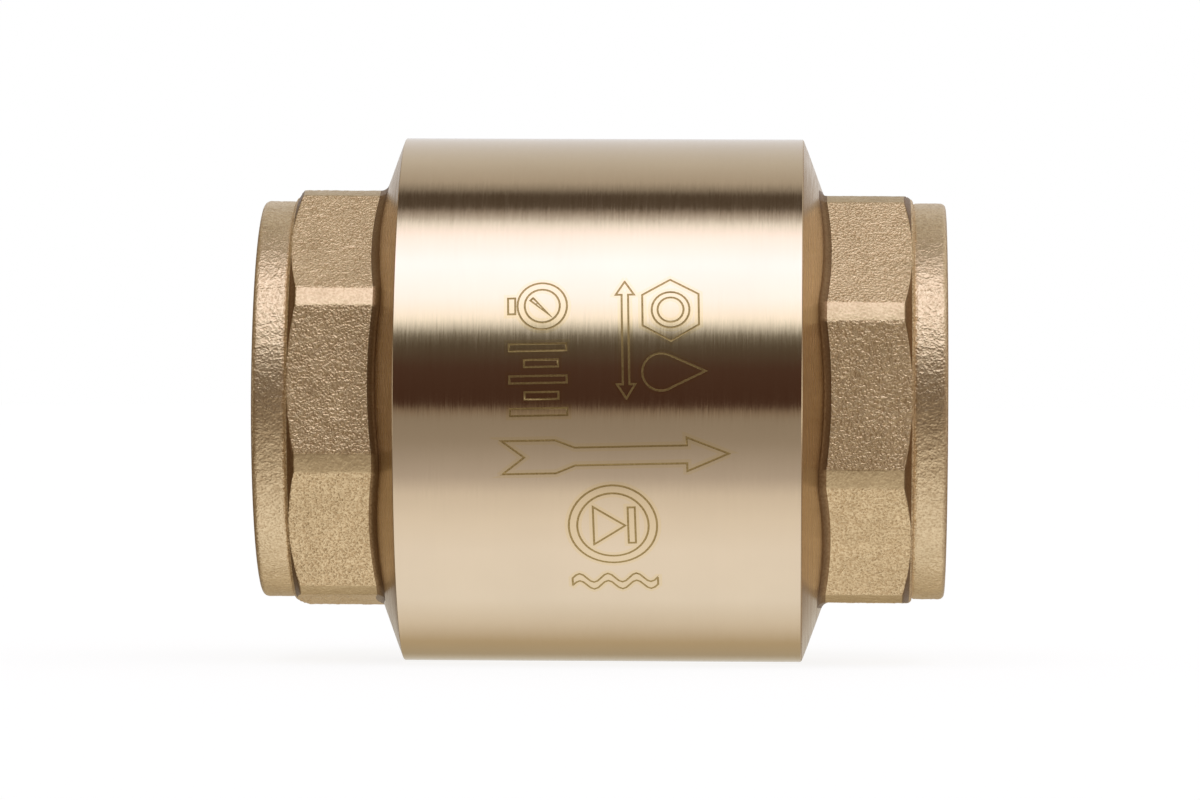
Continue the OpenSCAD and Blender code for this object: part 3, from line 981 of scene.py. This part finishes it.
def engraved_brass():
    """The brown trace that a marking laser leaves."""
    mat, tree = material("laser_engraved_brass", (0.40, 0.28, 0.12), 0.85, 0.34)
    fine = noise(tree, 9000, 2.0)
    return drive(mat, tint(tree, fine, (0.31, 0.21, 0.08), (0.47, 0.34, 0.15)), bump(tree, fine, 4e-6))


def steel(name, base, roughness, turned=False):
    """Steel with fine marks, in rings where it was turned or ground."""
    mat, tree = material(name, base, 1.0, roughness)
    lines = lathe_noise(tree, 2500, 6, 0.3, 4.0, 0.6) if turned else noise(tree, 2500, 4.0, roughness=0.6)
    return drive(mat, tint(tree, lines, shaded(base, 0.9), base), bump(tree, lines, 1.2e-6),
                 remap(tree, lines, roughness * 0.7, roughness * 1.5))


def moulded(name, base, roughness, distance, spread=0.25):
    """Rubber or plastic out of a mould, faintly mottled."""
    mat, tree = material(name, base, 0.0, roughness)
    fine = noise(tree, 6000)
    return drive(mat, tint(tree, noise(tree, 300), shaded(base, 1 - spread), base), bump(tree, fine, distance),
                 remap(tree, fine, roughness * 0.85, min(roughness * 1.15, 1)))


def place(build, node, body, slot, *materials):
    """Build the piece for a CAD node, with its materials in zone order and the body it rides on. slot is not used.
    """
    obj = build()
    for mat in materials:
        obj.data.materials.append(mat)
    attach(obj, body)
    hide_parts(node)
    return obj


barrel_brass = turned_brass("barrel_brass", (0.80, 0.655, 0.49), 0.10, hair=0.035)
tinted_brass = turned_brass("tinted_brass", (0.80, 0.64, 0.43), 0.10, hair=0.035)
# the shoulders' turned brass: the barrel's brass made darker by painted shade
shoulder_painted_shade_brass = turned_brass("shoulder_painted_shade_brass", (0.69, 0.535, 0.35), 0.24, 1.2e-6, 3e-6)
bored_brass = turned_brass("bored_brass", (0.78, 0.60, 0.38), 0.2, 1.0e-6, 3e-6)
trim_brass = turned_brass("trim_brass", (0.80, 0.62, 0.36), 0.22, 1.0e-6, 3e-6)
skin_brass = forged_brass("forged_brass", (0.955, 0.75, 0.475))
rubbed_brass = forged_brass("rubbed_brass", (0.69, 0.53, 0.322), 0.3, 24e-6, 0.14)
# painted shade: a dark brown brass that stands in for the shade in the fillets and on the chamfers
painted_shade_brass = forged_brass("painted_shade_brass", (0.32, 0.20, 0.10), 0.4, 25e-6, 0.2)
collar_brass = forged_brass("collar_brass", (0.90, 0.715, 0.47), 0.36, 65e-6, 0.22)
mark_brass = engraved_brass()
ground_steel = steel("ground_steel", (0.66, 0.65, 0.64), 0.24, turned=True)
wire_steel = steel("wire_steel", (0.60, 0.60, 0.60), 0.3)
rubber = moulded("nitrile_rubber", (0.022, 0.022, 0.024), 0.6, 6e-6)
plastic = moulded("acetal_plastic", (0.88, 0.85, 0.77), 0.42, 3e-6, 0.05)

ZONES = (barrel_brass, shoulder_painted_shade_brass, skin_brass, bored_brass, mark_brass, rubbed_brass, painted_shade_brass,
         tinted_brass, collar_brass)
place(build_inlet_body, "inlet_body", "valve_body", "body_brass", *ZONES)
place(build_outlet_cap, "outlet_cap", "valve_body", "body_brass", *ZONES)
place(build_stem, "stem", "poppet", "stainless_steel", ground_steel)
place(build_nut, "poppet_nut", "poppet", "trim_brass", trim_brass)
spring = place(build_spring, "return_spring", "valve_body", "spring_steel", wire_steel)
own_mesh(spring)
place(build_guide, "outlet_guide", "valve_body", "trim_brass", trim_brass)
place(build_circlip, "guide_circlip", "valve_body", "stainless_steel", ground_steel)
place(build_lock_washer, "lock_washer", "poppet", "stainless_steel", ground_steel)
place(build_back_plate, "back_plate", "poppet", "trim_brass", trim_brass)
place(build_seal_washer, "seal_washer", "poppet", "seal_rubber", rubber)
place(build_front_plate, "front_plate", "poppet", "trim_brass", trim_brass)
place(build_bush, "guide_bush", "valve_body", "bush_plastic", plastic)
place(build_seal_ring, "body_seal_ring", "valve_body", "seal_rubber", rubber)

# ---- studio

# Light by direction, as an angle about the flow axis: 0 is straight out to the front, 90 is up, -90 is down.
# Each stop is an angle and the colour of the light there.
STUDIO = (
    (-178, (0.78, 0.78, 0.76)), (-166, (0.60, 0.56, 0.48)), (-152, (0.43, 0.37, 0.26)), (-134, (0.51, 0.43, 0.29)),
    (-116, (0.76, 0.72, 0.64)), (-98, (0.92, 0.92, 0.90)), (-70, (0.94, 0.93, 0.91)), (-54, (0.88, 0.85, 0.80)),
    (-42, (0.77, 0.73, 0.67)), (-34, (0.52, 0.48, 0.44)), (-18, (0.35, 0.31, 0.26)), (-8, (0.32, 0.28, 0.23)),
    (-5, (0.27, 0.21, 0.155)), (-2.6, (0.062, 0.030, 0.019)), (14, (0.076, 0.041, 0.028)),
    (24, (0.10, 0.082, 0.057)), (28.5, (0.19, 0.175, 0.14)), (32, (0.74, 0.76, 0.72)), (35.5, (1.28, 1.28, 1.26)),
    (45, (1.40, 1.45, 1.68)), (62, (1.60, 1.55, 1.92)), (76, (1.42, 1.38, 1.56)), (82.5, (1.08, 1.11, 1.15)),
    (86, (0.62, 0.61, 0.59)), (90, (0.34, 0.30, 0.27)), (93, (0.09, 0.07, 0.05)), (102, (0.08, 0.06, 0.043)),
    (106, (0.30, 0.27, 0.23)), (111, (0.48, 0.44, 0.38)), (128, (0.60, 0.58, 0.53)), (150, (0.70, 0.70, 0.71)),
    (178, (0.86, 0.86, 0.88)),
)
SIDE_LEVEL = (0.22, 0.15, 0.095)  # light that comes past the ends, level with the valve
SIDE_HIGH = (0.66, 0.60, 0.50)  # the same, from above
SIDE_LOW = (0.50, 0.44, 0.36)  # and from below
INLET_TONE = (0.56, 0.52, 0.45)  # the inlet's side is darker and warmer than the outlet's
OUTLET_TONE = (1.12, 1.18, 1.34)
AXIAL = (1.15, 1.12, 1.06)  # light from straight along the axis
BACKDROP = (1.0, 1.0, 1.0)


HIGH_UP = (0.1, 0.7)  # how high the light from the sides starts to change and is all changed
INLET_TO_OUTLET = (-0.3, 0.3)  # where the inlet's tone turns into the outlet's, along the axis
TO_SIDES = (0.2, 0.6)  # where the bands round the axis give way to the light from the sides
TO_AXIAL = (0.975, 0.995)  # and that to the light from straight along


def build_studio():
    """Light that depends on direction alone. The camera itself sees an even white backdrop."""
    world = bpy.data.worlds.new("studio")
    bpy.context.scene.world = world
    world.use_nodes = True
    tree = world.node_tree
    x, y, z = add_node(tree, "SeparateXYZ", {0: add_node(tree, "TexCoord").outputs["Generated"]}).outputs
    turn = math_node(tree, "ARCTAN2", z, math_node(tree, "MULTIPLY", y, -1.0))
    turn = math_node(tree, "MULTIPLY_ADD", turn, 1 / (2 * pi), 0.5)
    bands = ramp(tree, turn, [(angle / 360 + 0.5, colour) for angle, colour in STUDIO])

    def smooth(value, start, end):
        return remap(tree, value, 0.0, 1.0, start, end, "SMOOTHSTEP")

    along = math_node(tree, "ABSOLUTE", x)
    above = mix(tree, smooth(z, *HIGH_UP), SIDE_LEVEL, SIDE_HIGH)
    below = mix(tree, smooth(z, *(-share for share in HIGH_UP)), above, SIDE_LOW)
    tone = mix(tree, remap(tree, x, 0.0, 1.0, *INLET_TO_OUTLET), INLET_TONE, OUTLET_TONE)
    sides = mix(tree, smooth(along, *TO_AXIAL), mix(tree, 1.0, below, tone, "MULTIPLY"), AXIAL)
    light = mix(tree, smooth(along, *TO_SIDES), bands, sides)
    seen = mix(tree, add_node(tree, "LightPath").outputs["Is Camera Ray"], light, BACKDROP)
    tree.links.new(seen, tree.nodes["Background"].inputs["Color"])


FLOOR_SIZE = 60.0  # metres, so that its edge is out of sight
FLOOR_GLOW = 0.87  # brings the pale floor up to the backdrop


def build_floor():
    """A plain pale table that the barrel lies on. It stays out of the reflections, which come from the studio."""
    bpy.ops.mesh.primitive_plane_add(size=FLOOR_SIZE, location=(0, 0, -BARREL_R * MM))
    floor = bpy.context.object
    floor.name = "table"
    mat, tree = material("pale_table", (0.22, 0.22, 0.225), 0.0, 0.9)
    inputs = tree.nodes["Principled BSDF"].inputs
    inputs["Specular IOR Level"].default_value = 0.0
    inputs["Emission Color"].default_value = (1, 1, 1, 1)
    inputs["Emission Strength"].default_value = FLOOR_GLOW
    floor.data.materials.append(mat)
    floor.visible_glossy = False


CAMERA_DISTANCE = 565.0  # from the axis
CAMERA_X = 15.4  # the camera stands level with this place on the axis
AIM_X = -0.36  # and is aimed at this one
CAMERA_ROLL = 0.25  # degrees that the picture leans clockwise
PICTURE_W = 1200  # pixels
PIXEL = 0.0795  # size of one at the axis
SENSOR_W = 36.0


def build_camera():
    """A level long-lens camera."""
    data = bpy.data.cameras.new("camera")
    camera = bpy.data.objects.new("camera", data)
    bpy.context.scene.collection.objects.link(camera)
    camera.location = (CAMERA_X * MM, -CAMERA_DISTANCE * MM, 0)
    aim = Vector((AIM_X * MM, 0, 0)) - camera.location
    camera.rotation_mode = "QUATERNION"
    camera.rotation_quaternion = aim.to_track_quat("-Z", "Y") @ Quaternion((0, 0, 1), radians(CAMERA_ROLL))
    data.sensor_width = SENSOR_W
    data.lens = SENSOR_W * CAMERA_DISTANCE / (PICTURE_W * PIXEL)
    data.clip_start, data.clip_end = 0.01, 20
    bpy.context.scene.camera = camera


build_studio()
build_floor()
build_camera()
bpy.context.scene.view_settings.view_transform = "Standard"
